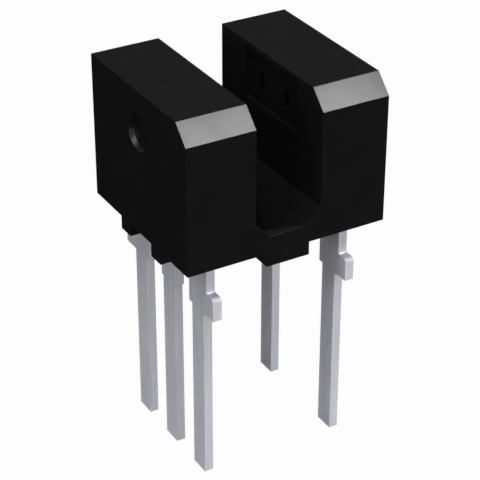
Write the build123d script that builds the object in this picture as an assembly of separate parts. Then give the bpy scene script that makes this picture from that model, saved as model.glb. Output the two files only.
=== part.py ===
from build123d import *
import os

# Slotted optical switch with two light channels. All sizes in millimetres.
# Frame: the origin is the middle of the seating plane, which is the underside of the feet.
# X runs across the slot towards the emitter tower, -Y is the chamfered front, Z is up.

# Housing
tower_height = 3.27  # from the tower's underside to its top
standoff = 0.30  # how far the feet and the bar lift the towers off the board
slot_gap = 1.53  # clear width between the towers
bridge_thickness = 0.40  # under the middle of the slot floor
slot_gusset = 0.345  # 45 degree slope along both sides of the slot floor
front_chamfer = 0.405  # on the front top edge of both towers
inner_wall = 0.37  # tower wall that faces the slot
outer_wall = 0.25  # tower wall on the outside
end_wall = 0.25  # tower walls at the front and at the back
roof = 0.30  # above the moulding
cavity_chamfer = 0.20  # keeps the wall behind the front chamfer even

# Light path
optical_drop = 0.775  # from the tower top down to the middle of the windows
channel_pitch = 1.00  # between the two light channels, along Y
window_width = 0.20
window_height = 0.41
recess_depth = 0.08  # shallow pocket in each inner face
recess_width = 2.10
recess_height = 1.15
recess_drop = 0.12  # from the tower top down to the pocket

# Marks and supports on the housing
dimple_radius = 0.40
dimple_depth = 0.10
dimple_taper = 25  # degrees, slope of the wall all round
dimple_drop = 0.94  # from the tower top, on the detector tower's outer face
foot_length = 0.41
foot_gap = 0.93  # between the two feet of one tower, along Y
bar_width = 1.02  # rib under the bridge, as deep as the housing
crush_rib_width = 0.12
crush_rib_height = 0.02
crush_rib_length = 2.00
crush_rib_pitch = 2.20

# Leads
lead_thickness = 0.204
lead_pitch = 1.27
lead_drop = 5.10  # from the seating plane down to the tips
lead_width = 0.482
outer_lead_neck = 0.73  # wide part of the four outer leads
common_lead_neck = 0.62  # wide part of the common lead
neck_drop = 1.01  # from the seating plane down to the shoulders
tie_bar_height = 0.52  # cut end of the bar that joined the leads
tie_bar_reach = 0.65  # from the lead's middle to the cut
stamp_radius = 0.04  # inside corners of the stamping
tie_bar_corner = 0.08  # rounded upper corner at the cut

# Lead ends inside the mouldings
inner_lead_width = 0.48
pad_rim = 0.06  # pad beyond the larger chips, along Y
pad_height = 0.65
post_above_axis = 0.20  # how far a bond post rises over the light axis
bond_arm_height = 0.30  # arm of the emitter's bond lead, below the pad
bond_arm_gap = 0.25
bond_arm_overrun = 0.20  # past the far chip's middle

# Chips and bond wires
detector_chip = 0.40  # square side
emitter_chip = 0.28
chip_thickness = 0.15
bond_pad_offset = 0.12  # detector chips: from the middle to the bond pad
wire_radius = 0.0125
wire_loop = 0.10  # height of the loop over the chip
wire_drop = 0.05  # last straight stretch down to the lead
ball_radius = 0.035
ball_height = 0.02

# Mouldings
mould_cover = 0.113  # epoxy over the wire loops
mould_edge = 0.12  # epoxy beside the outer leads' necks
mould_fit = 0.02  # clearance at the front, the back and the top
mould_recess = 0.05  # from the tower's underside up to the moulding
mould_draft = 3  # degrees, on each side of the parting plane

LEFT, RIGHT = -1, 1  # detector tower and emitter tower
BACK, FRONT = 1, -1

# Levels and places that follow
chip_top = lead_thickness / 2 + chip_thickness
mould_thickness = 2 * (chip_top + wire_loop + mould_cover)
mould_depth = 2 * lead_pitch + outer_lead_neck + 2 * mould_edge
cavity_inner = slot_gap / 2 + inner_wall
row_x = cavity_inner + mould_thickness / 2
cavity_outer = cavity_inner + mould_thickness + crush_rib_height
cavity_depth = mould_depth + 2 * mould_fit
body_width = 2 * (cavity_outer + outer_wall)
body_depth = cavity_depth + 2 * end_wall
body_bottom = standoff
body_top = body_bottom + tower_height
slot_floor = body_bottom + bridge_thickness
cavity_top = body_top - roof
mould_bottom = body_bottom + mould_recess
optical_height = body_top - optical_drop
pad_width = channel_pitch + detector_chip + 2 * pad_rim
pad_bottom = optical_height - pad_height / 2
post_top = optical_height + post_above_axis
arm_top = pad_bottom - bond_arm_gap
channel_y = {BACK: channel_pitch / 2, FRONT: -channel_pitch / 2}


def block(x0, x1, y0, y1, z0, z1):
    """Box between three pairs of limits, given in either order."""
    centre = ((x0 + x1) / 2, (y0 + y1) / 2, (z0 + z1) / 2)
    return Pos(*centre) * Box(abs(x1 - x0), abs(y1 - y0), abs(z1 - z0))


def strip(y0, y1, z0, z1):
    """Flat rectangle of a stamping, drawn in Y and Z."""
    return Pos((y0 + y1) / 2, (z0 + z1) / 2) * Rectangle(abs(y1 - y0), abs(z1 - z0))


def inward(side, distance):
    """X of the plane that lies the distance from a lead row's middle towards the slot."""
    return side * (row_x - distance)


# Housing


def housing_section():
    """Front outline: two towers on a bridge, with a slope along both sides of the slot floor."""
    half, gap = body_width / 2, slot_gap / 2
    right = [
        (half, body_bottom),
        (half, body_top),
        (gap, body_top),
        (gap, slot_floor + slot_gusset),
        (gap - slot_gusset, slot_floor),
    ]
    left = [(-x, z) for x, z in reversed(right)]
    return make_face(Polyline(*right, *left, close=True))


def cavity_outline(side_clearance, bottom, top, top_clearance):
    """Side outline of a tower's cavity, or of what fits in it, with the front top corner cut."""
    half = cavity_depth / 2 - side_clearance
    roof_line = top - top_clearance
    return make_face(
        Polyline(
            (-half, bottom),
            (half, bottom),
            (half, roof_line),
            (-half + cavity_chamfer, roof_line),
            (-half, roof_line - cavity_chamfer),
            close=True,
        )
    )


def cavity(side):
    """Pocket of one tower, open at the bottom, less the ribs that press the moulding inwards."""
    outline = cavity_outline(0, body_bottom, cavity_top, 0)
    middle = (cavity_inner + cavity_outer) / 2
    half = (cavity_outer - cavity_inner) / 2
    pocket = extrude(Plane.YZ.offset(side * middle) * outline, half, both=True)
    for end in (BACK, FRONT):
        y = end * crush_rib_pitch / 2
        pocket -= block(
            side * cavity_outer,
            side * (cavity_outer - crush_rib_height),
            y - crush_rib_width / 2,
            y + crush_rib_width / 2,
            mould_bottom,
            mould_bottom + crush_rib_length,
        )
    return pocket


def light_openings(side):
    """Shallow pocket in the inner face with one window for each channel, out to the cavity."""
    face = slot_gap / 2
    top = body_top - recess_drop
    openings = block(
        side * face,
        side * (face + recess_depth),
        -recess_width / 2,
        recess_width / 2,
        top - recess_height,
        top,
    )
    for y in channel_y.values():
        openings += block(
            side * face,
            side * cavity_inner,
            y - window_width / 2,
            y + window_width / 2,
            optical_height - window_height / 2,
            optical_height + window_height / 2,
        )
    return openings


def feet(side):
    """Two feet under a tower's outer wall, each in a space between two leads."""
    pair = Part()
    for end in (BACK, FRONT):
        near = end * foot_gap / 2
        pair += block(
            side * body_width / 2,
            side * cavity_outer,
            near,
            near + end * foot_length,
            0,
            body_bottom,
        )
    return pair


def make_housing():
    """Black one-piece moulding that holds both optical mouldings and shades the slot."""
    body = extrude(Plane.XZ * housing_section(), body_depth / 2, both=True)
    front_edges = body.edges().filter_by(Axis.X).group_by(Axis.Z)[-1].group_by(Axis.Y)[0]
    body = chamfer(front_edges, front_chamfer)
    for side in (LEFT, RIGHT):
        body -= cavity(side)
        body -= light_openings(side)
        body += feet(side)
    body += block(
        -bar_width / 2, bar_width / 2, -body_depth / 2, body_depth / 2, 0, body_bottom
    )
    dimple_centre = (LEFT * body_width / 2, 0, body_top - dimple_drop)
    dimple_plane = Plane(origin=dimple_centre, z_dir=(RIGHT, 0, 0))
    body -= extrude(dimple_plane * Circle(dimple_radius), dimple_depth, taper=dimple_taper)
    return body


# Stamped leads


def rounded(blade, spots, radius):
    """Rounds the corners of a stamping at the given places."""
    corners = [
        v
        for v in blade.vertices()
        for y, z in spots
        if abs(v.X - y) + abs(v.Y - z) < radius / 10
    ]
    return fillet(corners, radius)


def lead_body(y, neck, outward):
    """Lead below the moulding: tip, blade, wide neck and, on an outer lead, the tie bar's end."""
    shoulder = -neck_drop
    blade = strip(y - lead_width / 2, y + lead_width / 2, -lead_drop, shoulder)
    blade += strip(y - neck / 2, y + neck / 2, shoulder, mould_bottom)
    if outward:
        tab_top = shoulder + tie_bar_height
        cut = y + outward * tie_bar_reach
        blade += strip(y, cut, shoulder, tab_top)
        blade = rounded(blade, [(cut, tab_top)], tie_bar_corner)
        blade = rounded(
            blade,
            [
                (y + outward * neck / 2, tab_top),
                (y + outward * lead_width / 2, shoulder),
            ],
            stamp_radius,
        )
    return blade


def stamped(outline, side):
    """Gives a lead's outline the thickness of the sheet, in the plane of its row."""
    return extrude(Plane.YZ.offset(side * row_x) * outline, lead_thickness / 2, both=True)


def inner_strip(y, top):
    """Narrower part of a lead inside the moulding."""
    return strip(y - inner_lead_width / 2, y + inner_lead_width / 2, mould_bottom, top)


def chip_pad():
    """Pad that carries both chips on the light axis."""
    return strip(-pad_width / 2, pad_width / 2, pad_bottom, pad_bottom + pad_height)


def make_detector_common():
    """Middle lead of the detector side, with the pad for both receiving chips."""
    blade = lead_body(0, common_lead_neck, 0)
    blade += inner_strip(0, optical_height) + chip_pad()
    return stamped(blade, LEFT)


def make_detector_lead(end):
    """Outer lead of the detector side, which ends in a bond post beside the pad."""
    y = end * lead_pitch
    blade = lead_body(y, outer_lead_neck, end) + inner_strip(y, post_top)
    return stamped(blade, LEFT)


def make_emitter_pad_lead():
    """Back lead of the emitter side, with the pad for both emitting chips."""
    y = BACK * lead_pitch
    top = pad_bottom + pad_height
    blade = lead_body(y, outer_lead_neck, BACK) + inner_strip(y, top)
    blade += strip(-pad_width / 2, y, pad_bottom, top)
    return stamped(blade, RIGHT)


def make_emitter_bond_lead():
    """Front lead of the emitter side, whose arm runs below the pad and takes both wires."""
    y = FRONT * lead_pitch
    blade = lead_body(y, outer_lead_neck, FRONT) + inner_strip(y, arm_top)
    far_end = channel_y[BACK] + bond_arm_overrun
    blade += strip(y, far_end, arm_top - bond_arm_height, arm_top)
    return stamped(blade, RIGHT)


# Chips and bond wires


def make_chip(side, end, width):
    """Chip on the slot side of its pad, in line with one window."""
    y = channel_y[end]
    return block(
        inward(side, lead_thickness / 2),
        inward(side, chip_top),
        y - width / 2,
        y + width / 2,
        optical_height - width / 2,
        optical_height + width / 2,
    )


def make_wire(side, chip_spot, lead_spot):
    """Bond wire: a ball on the chip, a loop towards the slot and a stitch on the lead."""
    towards_slot = (-side, 0, 0)
    lead_face = lead_thickness / 2
    start = (inward(side, chip_top), *chip_spot)
    end = (inward(side, lead_face), *lead_spot)
    path = Polyline(
        start,
        (inward(side, chip_top + wire_loop), *chip_spot),
        (inward(side, lead_face + wire_drop), *lead_spot),
        end,
    )
    on_chip = Plane(origin=start, z_dir=towards_slot)
    on_lead = Plane(origin=end, z_dir=towards_slot)
    wire = sweep(on_chip * Circle(wire_radius), path=path, transition=Transition.RIGHT)
    wire += extrude(on_chip * Circle(ball_radius), ball_height)
    wire += extrude(on_lead * Circle(ball_radius), ball_height / 2)
    return wire


def make_detector_wire(end):
    """Wire from a receiving chip's corner pad to the bond post on its own side."""
    chip_spot = (
        channel_y[end] + end * bond_pad_offset,
        optical_height + bond_pad_offset,
    )
    lead_spot = (end * (lead_pitch - inner_lead_width / 4), optical_height)
    return make_wire(LEFT, chip_spot, lead_spot)


def make_emitter_wire(end):
    """Wire from an emitting chip's middle down to the arm of the bond lead."""
    chip_spot = (channel_y[end], optical_height)
    lead_spot = (channel_y[end], arm_top - bond_arm_height / 2)
    return make_wire(RIGHT, chip_spot, lead_spot)


# Mouldings


def make_mould(side, inserts):
    """Epoxy moulding with draft on both sides of its parting plane, cast round its inserts."""
    outline = cavity_outline(mould_fit, mould_bottom, cavity_top, mould_fit)
    plane = Plane.YZ.offset(side * row_x)
    block_shape = extrude(plane * outline, mould_thickness / 2, taper=mould_draft)
    block_shape += extrude(plane * outline, -mould_thickness / 2, taper=mould_draft)
    for insert in inserts:
        block_shape -= insert
    return block_shape


# Assembly

detector_inserts = {
    "detector_lead_back": make_detector_lead(BACK),
    "detector_lead_common": make_detector_common(),
    "detector_lead_front": make_detector_lead(FRONT),
    "detector_chip_back": make_chip(LEFT, BACK, detector_chip),
    "detector_chip_front": make_chip(LEFT, FRONT, detector_chip),
    "detector_wire_back": make_detector_wire(BACK),
    "detector_wire_front": make_detector_wire(FRONT),
}
emitter_inserts = {
    "emitter_lead_back": make_emitter_pad_lead(),
    "emitter_lead_front": make_emitter_bond_lead(),
    "emitter_chip_back": make_chip(RIGHT, BACK, emitter_chip),
    "emitter_chip_front": make_chip(RIGHT, FRONT, emitter_chip),
    "emitter_wire_back": make_emitter_wire(BACK),
    "emitter_wire_front": make_emitter_wire(FRONT),
}
pieces = {
    "housing": make_housing(),
    "detector_mould": make_mould(LEFT, detector_inserts.values()),
    "emitter_mould": make_mould(RIGHT, emitter_inserts.values()),
    **detector_inserts,
    **emitter_inserts,
}

os.makedirs("parts", exist_ok=True)
for name, shape in pieces.items():
    export_step(shape, f"parts/{name}.step")
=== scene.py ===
"""Looks, light and camera for a slotted optical switch that stands on its leads."""

import logging
import math
from dataclasses import dataclass, field
from enum import Enum
from typing import Any

import bpy
from mathutils import Matrix, Vector


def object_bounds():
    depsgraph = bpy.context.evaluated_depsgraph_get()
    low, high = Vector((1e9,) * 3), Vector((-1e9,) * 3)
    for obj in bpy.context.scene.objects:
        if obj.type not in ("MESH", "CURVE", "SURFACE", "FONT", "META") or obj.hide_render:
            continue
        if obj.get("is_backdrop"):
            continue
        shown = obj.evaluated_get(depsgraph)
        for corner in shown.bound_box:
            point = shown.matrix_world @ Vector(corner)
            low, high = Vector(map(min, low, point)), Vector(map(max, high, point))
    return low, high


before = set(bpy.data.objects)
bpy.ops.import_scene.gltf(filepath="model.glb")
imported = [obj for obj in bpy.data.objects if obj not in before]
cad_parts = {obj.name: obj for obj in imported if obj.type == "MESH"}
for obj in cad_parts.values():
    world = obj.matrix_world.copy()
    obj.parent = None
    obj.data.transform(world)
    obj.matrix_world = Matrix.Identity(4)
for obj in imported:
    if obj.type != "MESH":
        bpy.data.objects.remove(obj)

LOG = logging.getLogger("slotted_optical_switch")
MM = 0.001
FRAME_PIXELS = 480

# Corners of neighbouring faces that lie closer than this, in metres, are one corner.
WELD_GAP = 1e-7
# Faces that meet at less than the first angle, in degrees, are one flat face. Those that meet
# at more than the second have a sharp edge.
FLAT_ANGLE = 0.5
SHARP_ANGLE = 35.0

# Places of the colour sockets on a mix node.
MIX_SHARE, MIX_FIRST, MIX_SECOND, MIX_RESULT = 0, 6, 7, 2

Colour = tuple[float, float, float]
Point = tuple[float, float, float]
Span = tuple[float, float]
Box = tuple[Vector, Vector]

UNIT: Span = (0.0, 1.0)
WHITE = (1.0, 1.0, 1.0, 1.0)
# Factors that keep a place as it is, and that leave out its height.
AS_IS: Point = (1.0, 1.0, 1.0)
LEVEL: Point = (1.0, 1.0, 0.0)


class Slot(Enum):
    """Material slots of the record."""

    HOUSING = "housing_plastic"
    MOULD = "mould_epoxy"
    LEAD = "tin_plate"
    CHIP = "chip"
    WIRE = "bond_wire"


class Reach(Enum):
    """What a lamp shows on: gloss and matt colour, only the gloss, or only the matt colour."""

    ALL = "all"
    GLOSS = "gloss"
    MATT = "matt"


@dataclass(frozen=True)
class Pattern:
    """Noise pattern: blotches to a millimetre, and octaves of finer noise with their share.

    A small factor along Z draws the pattern out along the leads.
    """

    per_mm: float
    detail: float = 2.0
    roughness: float = 0.5
    along: float = 1.0


@dataclass(frozen=True)
class Relief:
    """Relief on a surface: its height in millimetres, and the share of it that shows."""

    depth: float
    strength: float


class Graph:
    """Node graph of a material or of the world, with short calls to add and link nodes."""

    def __init__(
        self,
        owner: bpy.types.Material | bpy.types.World,
        output: str = "ShaderNodeOutputMaterial",
    ) -> None:
        """Empties the owner's node graph and gives it a new output.

        Args:
            owner: The material or world that the graph belongs to.
            output: Blender's name of the output node's type.
        """
        self.owner = owner
        owner.use_nodes = True
        self.tree = owner.node_tree
        self.tree.nodes.clear()
        self.output = self.tree.nodes.new(output)

    def node(self, kind: str, **values: Any) -> bpy.types.Node:
        """Adds a node.

        Args:
            kind: Blender's name of the node type.
            **values: Settings of the node, by attribute name.

        Returns:
            The new node.
        """
        made = self.tree.nodes.new(kind)
        for key, value in values.items():
            setattr(made, key, value)
        return made

    def link(self, source: bpy.types.NodeSocket, target: bpy.types.NodeSocket) -> None:
        """Links one socket to another."""
        self.tree.links.new(source, target)

    def place(self, stretch: Point = AS_IS) -> bpy.types.NodeSocket:
        """Gives a point's place on the object, in millimetres.

        Args:
            stretch: Factors along X, Y and Z.

        Returns:
            The socket with the place.
        """
        where = self.node("ShaderNodeTexCoord")
        scale = self.node("ShaderNodeMapping")
        scale.inputs["Scale"].default_value = [factor / MM for factor in stretch]
        self.link(where.outputs["Object"], scale.inputs["Vector"])
        return scale.outputs["Vector"]

    def axis(self, name: str) -> bpy.types.NodeSocket:
        """Gives a point's place along one axis of the object, in millimetres.

        Args:
            name: X, Y or Z.

        Returns:
            The socket with the place.
        """
        axes = self.node("ShaderNodeSeparateXYZ")
        self.link(self.place(), axes.inputs["Vector"])
        return axes.outputs[name]

    def compute(
        self, operation: str, *values: float | bpy.types.NodeSocket
    ) -> bpy.types.NodeSocket:
        """Works out one operation on numbers and sockets.

        Args:
            operation: Blender's name of the operation.
            *values: What it works on, in the order of the node's inputs.

        Returns:
            The socket with the result.
        """
        made = self.node("ShaderNodeMath", operation=operation)
        for socket, value in zip(made.inputs, values):
            if isinstance(value, float):
                socket.default_value = value
            else:
                self.link(value, socket)
        return made.outputs["Value"]

    def noise(self, pattern: Pattern) -> bpy.types.NodeSocket:
        """Adds a noise pattern.

        Args:
            pattern: The pattern's fineness.

        Returns:
            The socket with its value, about 0 to 1.
        """
        made = self.node("ShaderNodeTexNoise")
        made.inputs["Scale"].default_value = pattern.per_mm
        made.inputs["Detail"].default_value = pattern.detail
        made.inputs["Roughness"].default_value = pattern.roughness
        self.link(self.place((1.0, 1.0, pattern.along)), made.inputs["Vector"])
        return made.outputs["Fac"]

    def remap(
        self, value: bpy.types.NodeSocket, source: Span = UNIT, target: Span = UNIT
    ) -> bpy.types.NodeSocket:
        """Stretches a value from one range to another and clamps it.

        Args:
            value: Socket with the value.
            source: Range that the value spans.
            target: Range that it is stretched to.

        Returns:
            The socket with the new value.
        """
        made = self.node("ShaderNodeMapRange", clamp=True)
        for name, number in zip(("From Min", "From Max", "To Min", "To Max"), source + target):
            made.inputs[name].default_value = number
        self.link(value, made.inputs["Value"])
        return made.outputs["Result"]

    def blend(
        self, share: bpy.types.NodeSocket, first: Colour | bpy.types.NodeSocket, second: Colour
    ) -> bpy.types.NodeSocket:
        """Mixes two colours.

        Args:
            share: Socket with the share of the second colour.
            first: Colour at share 0, or a socket with it.
            second: Colour at share 1.

        Returns:
            The socket with the mixed colour.
        """
        made = self.node("ShaderNodeMix", data_type="RGBA")
        if isinstance(first, tuple):
            made.inputs[MIX_FIRST].default_value = (*first, 1.0)
        else:
            self.link(first, made.inputs[MIX_FIRST])
        made.inputs[MIX_SECOND].default_value = (*second, 1.0)
        self.link(share, made.inputs[MIX_SHARE])
        return made.outputs[MIX_RESULT]

    def bump(self, height: bpy.types.NodeSocket, relief: Relief) -> bpy.types.NodeSocket:
        """Turns a height pattern into relief.

        Args:
            height: Socket with the height, 0 to 1.
            relief: Depth and strength of the relief.

        Returns:
            The socket with the normal.
        """
        made = self.node("ShaderNodeBump")
        made.inputs["Distance"].default_value = relief.depth * MM
        made.inputs["Strength"].default_value = relief.strength
        self.link(height, made.inputs["Height"])
        return made.outputs["Normal"]

    def surface(
        self,
        tone: bpy.types.NodeSocket,
        dull: bpy.types.NodeSocket,
        normal: bpy.types.NodeSocket,
        **values: float,
    ) -> bpy.types.Node:
        """Adds the surface shader and wires it up.

        Args:
            tone: Socket with the colour.
            dull: Socket with the roughness.
            normal: Socket with the normal.
            **values: The shader's own socket values, with _ for each space in a name.

        Returns:
            The shader node.
        """
        shader = self.node("ShaderNodeBsdfPrincipled")
        for key, value in values.items():
            shader.inputs[key.replace("_", " ")].default_value = value
        for name, source in (("Base Color", tone), ("Roughness", dull), ("Normal", normal)):
            self.link(source, shader.inputs[name])
        self.link(shader.outputs["BSDF"], self.output.inputs["Surface"])
        return shader

    def mixed(
        self,
        share: bpy.types.NodeSocket,
        first: bpy.types.NodeSocket,
        second: bpy.types.NodeSocket,
    ) -> None:
        """Mixes two shaders and wires the mixture to the output.

        Args:
            share: Socket with the share of the second shader.
            first: Shader at share 0.
            second: Shader at share 1.
        """
        made = self.node("ShaderNodeMixShader")
        for socket, source in zip(made.inputs, (share, first, second)):
            self.link(source, socket)
        self.link(made.outputs["Shader"], self.output.inputs["Surface"])


@dataclass(frozen=True)
class MouldedBlack:
    """Black moulded plastic with the fine grain of its tool, and one polished spot.

    The spot lies within wall_reach of the distance wall_middle from the middle of the dimple's
    floor, and fades out between the two heights of wall_top. Lengths in millimetres.
    """

    name: str = "moulded_black"
    deep: Colour = (0.0072, 0.0072, 0.0074)
    pale: Colour = (0.0084, 0.0084, 0.0086)
    smooth: float = 0.14
    rough: float = 0.17
    gloss: float = 0.025
    cloud: Pattern = Pattern(1.6, 4.0, 0.6)
    cloud_spread: Span = (0.3, 0.7)
    grain: Pattern = Pattern(26.0, 3.0, 0.6)
    grain_relief: Relief = Relief(0.0004, 0.25)
    dimple: Point = (-2.235, 0.0, 2.63)
    wall_middle: float = 0.3825
    wall_reach: float = 0.0295
    wall_top: Span = (2.51, 2.68)
    wall_roughness: float = 0.35
    wall_polish: float = 1.0

    def make(self) -> bpy.types.Material:
        """Builds the material.

        Returns:
            The finished material.
        """
        graph = Graph(bpy.data.materials.new(self.name))
        cloud = graph.noise(self.cloud)
        shader = graph.surface(
            tone=graph.blend(graph.remap(cloud, self.cloud_spread), self.deep, self.pale),
            dull=graph.remap(cloud, self.cloud_spread, (self.smooth, self.rough)),
            normal=graph.bump(graph.noise(self.grain), self.grain_relief),
            Specular_IOR_Level=self.gloss,
            Coat_Roughness=self.wall_roughness,
        )
        graph.link(self.polish(graph), shader.inputs["Coat Weight"])
        return graph.owner

    def polish(self, graph: Graph) -> bpy.types.NodeSocket:
        """Marks the lower half of the dimple's sloped wall, which the tool left polished.

        Args:
            graph: The material's graph.

        Returns:
            The socket with the share of polish there and 0 elsewhere.
        """
        away = graph.node("ShaderNodeVectorMath", operation="DISTANCE")
        away.inputs[1].default_value = self.dimple
        graph.link(graph.place(), away.inputs[0])
        distance = away.outputs["Value"]
        wall = graph.compute("COMPARE", distance, self.wall_middle, self.wall_reach)
        low = graph.remap(graph.axis("Z"), self.wall_top, (self.wall_polish, 0.0))
        return graph.compute("MULTIPLY", wall, low)


@dataclass(frozen=True)
class TinPlate:
    """Satin tin plating with streaks along the lead, a violet bloom and small scuffs.

    The tie bars' cut ends are dull and have no plating. They begin between the two distances
    of cut_start from the middle plane, in millimetres.
    """

    name: str = "satin_tin"
    cool: Colour = (0.51, 0.52, 0.585)
    warm: Colour = (0.62, 0.625, 0.675)
    violet: Colour = (0.57, 0.55, 0.635)
    scuff: Colour = (0.36, 0.36, 0.415)
    smooth: float = 0.38
    rough: float = 0.46
    metal: float = 0.15
    gloss: float = 0.31
    streaks: Pattern = Pattern(13.0, 3.0, 0.6, along=0.04)
    streak_spread: Span = (0.32, 0.68)
    streak_relief: Relief = Relief(0.004, 0.5)
    bloom: Pattern = Pattern(0.9, 3.0)
    bloom_spread: Span = (0.44, 0.58)
    bloom_share: float = 0.75
    scuffs: Pattern = Pattern(11.0, 4.0, 0.7, along=0.3)
    scuff_spread: Span = (0.60, 0.74)
    scuff_share: float = 0.6
    mottle: Pattern = Pattern(3.0, 4.0, 0.6)
    mottle_spread: Span = (0.3, 0.7)
    cut: Colour = (0.53, 0.525, 0.555)
    cut_share: float = 0.7
    cut_roughness: float = 0.95
    cut_start: Span = (1.79, 1.83)

    def make(self) -> bpy.types.Material:
        """Builds the material.

        Returns:
            The finished material.
        """
        graph = Graph(bpy.data.materials.new(self.name))
        streak = graph.noise(self.streaks)
        bloom = graph.noise(self.bloom)
        nicks = graph.noise(self.scuffs)
        mottle = graph.noise(self.mottle)
        bare = self.cut_end(graph)
        tone = graph.blend(graph.remap(streak, self.streak_spread), self.cool, self.warm)
        for value, spread, share, colour in (
            (bloom, self.bloom_spread, self.bloom_share, self.violet),
            (nicks, self.scuff_spread, self.scuff_share, self.scuff),
            (bare, UNIT, self.cut_share, self.cut),
        ):
            tone = graph.blend(graph.remap(value, spread, (0.0, share)), tone, colour)
        plated = graph.remap(mottle, self.mottle_spread, (self.smooth, self.rough))
        sheared = graph.remap(bare, UNIT, (0.0, self.cut_roughness))
        graph.surface(
            tone=tone,
            dull=graph.compute("MAXIMUM", plated, sheared),
            normal=graph.bump(streak, self.streak_relief),
            Metallic=self.metal,
            Specular_IOR_Level=self.gloss,
        )
        return graph.owner

    def cut_end(self, graph: Graph) -> bpy.types.NodeSocket:
        """Marks the ends where the tie bars were cut.

        Args:
            graph: The material's graph.

        Returns:
            The socket with 1 at the cut ends and 0 elsewhere.
        """
        return graph.remap(graph.compute("ABSOLUTE", graph.axis("Y")), self.cut_start)


@dataclass(frozen=True)
class DarkEpoxy:
    """Near-black epoxy that only infrared light passes."""

    name: str = "dark_epoxy"
    deep: Colour = (0.022, 0.016, 0.022)
    pale: Colour = (0.034, 0.025, 0.033)
    smooth: float = 0.12
    rough: float = 0.22
    gloss: float = 0.3
    cloud: Pattern = Pattern(3.0, 3.0)
    cloud_spread: Span = (0.3, 0.7)
    ripple: Relief = Relief(0.002, 0.3)

    def make(self) -> bpy.types.Material:
        """Builds the material.

        Returns:
            The finished material.
        """
        graph = Graph(bpy.data.materials.new(self.name))
        cloud = graph.noise(self.cloud)
        graph.surface(
            tone=graph.blend(graph.remap(cloud, self.cloud_spread), self.deep, self.pale),
            dull=graph.remap(cloud, self.cloud_spread, (self.smooth, self.rough)),
            normal=graph.bump(cloud, self.ripple),
            Specular_IOR_Level=self.gloss,
        )
        return graph.owner


@dataclass(frozen=True)
class PolishedChip:
    """Polished semiconductor with a faint grid of its cells."""

    name: str = "polished_chip"
    field_colour: Colour = (0.09, 0.09, 0.13)
    cell_colour: Colour = (0.20, 0.17, 0.24)
    cells_per_mm: float = 14.0
    cell_edge: Span = (0.2, 0.5)
    smooth: float = 0.12
    rough: float = 0.3
    gloss: float = 0.6
    step: Relief = Relief(0.001, 0.4)

    def make(self) -> bpy.types.Material:
        """Builds the material.

        Returns:
            The finished material.
        """
        graph = Graph(bpy.data.materials.new(self.name))
        cells = graph.node("ShaderNodeTexVoronoi", distance="CHEBYCHEV")
        cells.inputs["Scale"].default_value = self.cells_per_mm
        graph.link(graph.place(), cells.inputs["Vector"])
        edge = graph.remap(cells.outputs["Distance"], self.cell_edge)
        graph.surface(
            tone=graph.blend(edge, self.cell_colour, self.field_colour),
            dull=graph.remap(edge, UNIT, (self.smooth, self.rough)),
            normal=graph.bump(edge, self.step),
            Specular_IOR_Level=self.gloss,
        )
        return graph.owner


@dataclass(frozen=True)
class DrawnGold:
    """Bright drawn gold wire."""

    name: str = "drawn_gold"
    deep: Colour = (0.75, 0.48, 0.16)
    pale: Colour = (0.95, 0.70, 0.33)
    smooth: float = 0.15
    rough: float = 0.3
    metal: float = 1.0
    lines: Pattern = Pattern(60.0)
    tone_spread: Span = (0.35, 0.65)
    dull_spread: Span = (0.3, 0.7)
    line_relief: Relief = Relief(0.0006, 0.3)

    def make(self) -> bpy.types.Material:
        """Builds the material.

        Returns:
            The finished material.
        """
        graph = Graph(bpy.data.materials.new(self.name))
        lines = graph.noise(self.lines)
        graph.surface(
            tone=graph.blend(graph.remap(lines, self.tone_spread), self.deep, self.pale),
            dull=graph.remap(lines, self.dull_spread, (self.smooth, self.rough)),
            normal=graph.bump(lines, self.line_relief),
            Metallic=self.metal,
        )
        return graph.owner


def cad_node(name: str) -> bpy.types.Object:
    """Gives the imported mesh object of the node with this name."""
    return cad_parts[name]


def paint(node: bpy.types.Object, material: bpy.types.Material) -> None:
    """Puts one material on an object in place of its own.

    Args:
        node: The object.
        material: The material for all its faces.
    """
    if not node.material_slots:
        node.data.materials.append(material)
    for place in node.material_slots:
        place.material = material


def soften(node: bpy.types.Object, radius: float, segments: int) -> None:
    """Rounds an object's sharp edges by modifiers, with its mesh as it was.

    Args:
        node: The object.
        radius: Radius of the edges in millimetres.
        segments: Faces across each rounded edge.
    """
    whole = node.modifiers.new("joined_faces", "WELD")
    whole.merge_threshold = WELD_GAP
    flat = node.modifiers.new("flat_faces", "DECIMATE")
    flat.decimate_type = "DISSOLVE"
    flat.angle_limit = math.radians(FLAT_ANGLE)
    edge = node.modifiers.new("edge_radius", "BEVEL")
    edge.width = radius * MM
    edge.segments = segments
    edge.limit_method = "ANGLE"
    edge.angle_limit = math.radians(SHARP_ANGLE)
    edge.use_clamp_overlap = False
    edge.harden_normals = True


@dataclass
class Housing:
    """Black forked housing with the sensing slot. Its edge radius is in millimetres."""

    node: str = "housing"
    edge_radius: float = 0.008
    edge_segments: int = 3
    finish: MouldedBlack = field(default_factory=MouldedBlack)

    def build(self) -> None:
        """Rounds the moulded edges and dresses the housing."""
        shell = cad_node(self.node)
        soften(shell, self.edge_radius, self.edge_segments)
        paint(shell, self.finish.make())
        LOG.info("housing: edges rounded to %.3f mm", self.edge_radius)


@dataclass
class Leads:
    """Five stamped leads in two rows. Their edge radius is in millimetres."""

    nodes: tuple[str, ...] = (
        "detector_lead_back",
        "detector_lead_common",
        "detector_lead_front",
        "emitter_lead_back",
        "emitter_lead_front",
    )
    edge_radius: float = 0.006
    edge_segments: int = 2
    finish: TinPlate = field(default_factory=TinPlate)

    def build(self) -> None:
        """Rounds the stamped edges and dresses each lead."""
        plating = self.finish.make()
        for name in self.nodes:
            lead = cad_node(name)
            soften(lead, self.edge_radius, self.edge_segments)
            paint(lead, plating)
            LOG.info("lead %s dressed", name)


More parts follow.
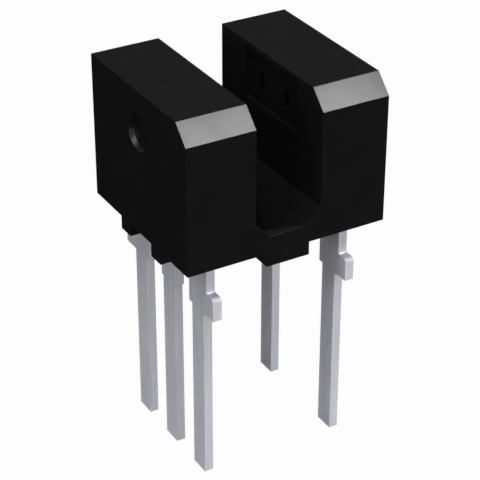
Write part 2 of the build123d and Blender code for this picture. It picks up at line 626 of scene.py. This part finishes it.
@dataclass
class OpticalMouldings:
    """The two epoxy mouldings in the towers, with their chips and bond wires."""

    moulds: tuple[str, ...] = ("detector_mould", "emitter_mould")
    chips: tuple[str, ...] = (
        "detector_chip_back",
        "detector_chip_front",
        "emitter_chip_back",
        "emitter_chip_front",
    )
    wires: tuple[str, ...] = (
        "detector_wire_back",
        "detector_wire_front",
        "emitter_wire_back",
        "emitter_wire_front",
    )
    epoxy: DarkEpoxy = field(default_factory=DarkEpoxy)
    silicon: PolishedChip = field(default_factory=PolishedChip)
    gold: DrawnGold = field(default_factory=DrawnGold)

    def build(self) -> None:
        """Dresses the mouldings and what is cast into them."""
        for names, finish, slot in (
            (self.moulds, self.epoxy, Slot.MOULD),
            (self.chips, self.silicon, Slot.CHIP),
            (self.wires, self.gold, Slot.WIRE),
        ):
            material = finish.make()
            for name in names:
                paint(cad_node(name), material)
                LOG.info("%s dressed", name)


def towards(azimuth: float, elevation: float) -> Vector:
    """Gives the direction from the object to a lamp or the camera.

    Args:
        azimuth: Degrees from the object's front, -Y, round to its right, +X.
        elevation: Degrees above the floor.

    Returns:
        The direction, with length 1.
    """
    round_z, up = math.radians(azimuth), math.radians(elevation)
    return Vector(
        (math.sin(round_z) * math.cos(up), -math.cos(round_z) * math.cos(up), math.sin(up))
    )


@dataclass(frozen=True)
class SoftBox:
    """Rectangular studio lamp that faces the object.

    Angles in degrees, lengths in metres, power in watts. The turn is round its own axis.
    """

    name: str
    azimuth: float
    elevation: float
    width: float
    height: float
    power: float
    distance: float = 0.25
    turn: float = 0.0
    reach: Reach = Reach.ALL

    def build(self, target: Vector) -> None:
        """Hangs the lamp.

        Args:
            target: Point that the lamp faces.
        """
        lamp = bpy.data.lights.new(self.name, "AREA")
        lamp.shape = "RECTANGLE"
        lamp.size, lamp.size_y = self.width, self.height
        lamp.energy = self.power
        holder = bpy.data.objects.new(self.name, lamp)
        holder.visible_diffuse = self.reach is not Reach.GLOSS
        holder.visible_glossy = self.reach is not Reach.MATT
        bpy.context.scene.collection.objects.link(holder)
        away = towards(self.azimuth, self.elevation)
        holder.location = target + away * self.distance
        aim = (-away).to_track_quat("-Z", "Y").to_matrix()
        turn = Matrix.Rotation(math.radians(self.turn), 3, "Z")
        holder.rotation_euler = (aim @ turn).to_euler()
        LOG.info("lamp %s hung", self.name)


@dataclass(frozen=True)
class Viewpoint:
    """Camera at the photograph's place. Angles in degrees, lengths in millimetres."""

    azimuth: float = -30.24
    elevation: float = 30.33
    roll: float = 0.113
    distance: float = 36.96
    aside: float = 0.038
    above: float = -0.720
    focal_pixels: float = 1741.1
    sensor: float = 36.0
    nearest: float = 1.0
    farthest: float = 10000.0

    def build(self, middle: Vector) -> None:
        """Sets up the camera.

        Args:
            middle: Point of the object that the view is measured from.
        """
        back = towards(self.azimuth, self.elevation)
        azimuth = math.radians(self.azimuth)
        level = Vector((math.cos(azimuth), math.sin(azimuth), 0.0))
        right = Matrix.Rotation(math.radians(self.roll), 3, back) @ level
        up = back.cross(right)
        lens = bpy.data.cameras.new("photo_camera")
        lens.sensor_width = self.sensor
        lens.lens = self.focal_pixels / FRAME_PIXELS * self.sensor
        lens.clip_start = self.nearest * MM
        lens.clip_end = self.farthest * MM
        holder = bpy.data.objects.new("photo_camera", lens)
        place = middle + (back * self.distance + right * self.aside + up * self.above) * MM
        axes = Matrix((right, up, back)).transposed().to_4x4()
        holder.matrix_world = Matrix.Translation(place) @ axes
        bpy.context.scene.collection.objects.link(holder)
        bpy.context.scene.camera = holder
        LOG.info("camera placed")


@dataclass
class Studio:
    """Floor, surroundings, lamps and camera.

    The camera sees the floor and the surroundings as near white. The surroundings shed no
    light, and the floor is dark grey to the light, with a painted pool of light that darkens
    it away from the object. Gloss shows a small share of the white. The floor's size is in
    metres, the radii of the painted pool of light round the object and the height of the point
    that the lamps face are in millimetres.
    """

    floor_size: float = 0.6
    floor_grey: float = 0.08
    floor_mirrored: float = 0.19
    floor_glow: float = 0.981
    surround: float = 0.0
    gloss_share: float = 0.08
    # Painted pool of light: radii where the floor starts and stops darkening, and the level it
    # falls to.
    painted_light_pool: Span = (5.0, 9.0)
    painted_pool_dim: float = 0.05
    middle_height: float = 0.30
    lamps: tuple[SoftBox, ...] = (
        SoftBox("front_low", azimuth=5.0, elevation=6.0, width=0.18, height=0.06, power=0.372),
        SoftBox("front_right", azimuth=30.0, elevation=8.0, width=0.12, height=0.12, power=0.064),
        SoftBox("left_low", azimuth=-72.0, elevation=6.0, width=0.20, height=0.06, power=0.114),
        SoftBox("left_strip", azimuth=-90.0, elevation=6.0, width=0.03, height=0.06, power=0.067),
        SoftBox("left_middle", azimuth=-85.0, elevation=35.0, width=0.12, height=0.12, power=0.096),
        SoftBox("left_high", azimuth=-50.0, elevation=52.0, width=0.12, height=0.12, power=0.130),
        SoftBox("overhead", azimuth=-60.0, elevation=75.0, width=0.12, height=0.12, power=0.272),
        SoftBox("right_strip", azimuth=77.0, elevation=50.0, width=0.012, height=0.12, power=0.600),
        SoftBox(
            "back_low",
            azimuth=176.0,
            elevation=8.0,
            width=0.18,
            height=0.12,
            power=0.45,
            reach=Reach.MATT,
        ),
        SoftBox(
            "edge_card",
            azimuth=44.0,
            elevation=50.4,
            width=0.034,
            height=0.010,
            power=0.269,
            distance=0.153,
            turn=-39.0,
            reach=Reach.GLOSS,
        ),
    )
    view: Viewpoint = field(default_factory=Viewpoint)

    def make_floor(self, height: float) -> None:
        """Lays the floor.

        Args:
            height: Level of the floor in metres.
        """
        half = self.floor_size / 2
        mesh = bpy.data.meshes.new("studio_floor")
        corners = [(x * half, y * half, height) for x, y in ((-1, -1), (1, -1), (1, 1), (-1, 1))]
        mesh.from_pydata(corners, [], [(0, 1, 2, 3)])
        floor = bpy.data.objects.new("studio_floor", mesh)
        bpy.context.scene.collection.objects.link(floor)
        mesh.materials.append(self.floor_material())
        floor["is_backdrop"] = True
        LOG.info("floor laid at %.2f mm", height / MM)

    def floor_material(self) -> bpy.types.Material:
        """Builds the floor's material: near white to the camera, dark grey to the light.

        Returns:
            The finished material.
        """
        graph = Graph(bpy.data.materials.new("studio_floor"))
        path = graph.node("ShaderNodeLightPath")
        distance = graph.node("ShaderNodeVectorMath", operation="LENGTH")
        graph.link(graph.place(LEVEL), distance.inputs[0])
        # Painted pool of light: the floor's colour, and its glow in gloss, fall off away from the
        # object in place of light falling off.
        painted_light_pool = graph.remap(distance.outputs["Value"], self.painted_light_pool, (1.0, self.painted_pool_dim))
        level = graph.compute("MAXIMUM", painted_light_pool, path.outputs["Is Camera Ray"])
        grey = (self.floor_grey, self.floor_mirrored)
        pale = graph.remap(path.outputs["Is Glossy Ray"], UNIT, grey)
        matt = graph.node("ShaderNodeBsdfDiffuse")
        graph.link(graph.compute("MULTIPLY", level, pale), matt.inputs["Color"])
        glow = graph.node("ShaderNodeEmission")
        graph.link(level, glow.inputs["Strength"])
        bright = graph.compute("MULTIPLY", self.shown_share(graph, path), self.floor_glow)
        graph.mixed(bright, matt.outputs["BSDF"], glow.outputs["Emission"])
        return graph.owner

    def shown_share(self, graph: Graph, path: bpy.types.Node) -> bpy.types.NodeSocket:
        """Finds how far a ray sees the floor or the surroundings as white.

        Args:
            graph: Graph of the floor's material or of the world.
            path: Its Light Path node.

        Returns:
            The socket with 1 for camera and transmission rays and less for glossy ones.
        """
        seen, through = path.outputs["Is Camera Ray"], path.outputs["Is Transmission Ray"]
        clear = graph.compute("MAXIMUM", seen, through)
        glossy = graph.compute("MULTIPLY", path.outputs["Is Glossy Ray"], self.gloss_share)
        return graph.compute("MAXIMUM", clear, glossy)

    def make_surroundings(self) -> None:
        """Makes the world white to the camera, faintly white in gloss and dark otherwise."""
        world = bpy.data.worlds.new("studio")
        graph = Graph(world, "ShaderNodeOutputWorld")
        seen = graph.node("ShaderNodeBackground")
        lit = graph.node("ShaderNodeBackground")
        lit.inputs["Strength"].default_value = self.surround
        for shade in (seen, lit):
            shade.inputs["Color"].default_value = WHITE
        shown = self.shown_share(graph, graph.node("ShaderNodeLightPath"))
        graph.mixed(shown, lit.outputs["Background"], seen.outputs["Background"])
        bpy.context.scene.world = world

    def build(self, box: Box) -> None:
        """Builds the studio round the object.

        Args:
            box: Lowest and highest corner of the object.
        """
        middle = Vector((0.0, 0.0, self.middle_height * MM))
        self.make_floor(box[0].z)
        self.make_surroundings()
        for lamp in self.lamps:
            lamp.build(middle)
        self.view.build(middle)
        bpy.context.scene.view_settings.view_transform = "Standard"


def main() -> None:
    """Builds each sub-assembly in order, and then the studio round them."""
    logging.basicConfig(level=logging.INFO, format="%(message)s")
    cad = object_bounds()
    Housing().build()
    Leads().build()
    OpticalMouldings().build()
    Studio().build(cad)


if __name__ == "__main__":
    main()
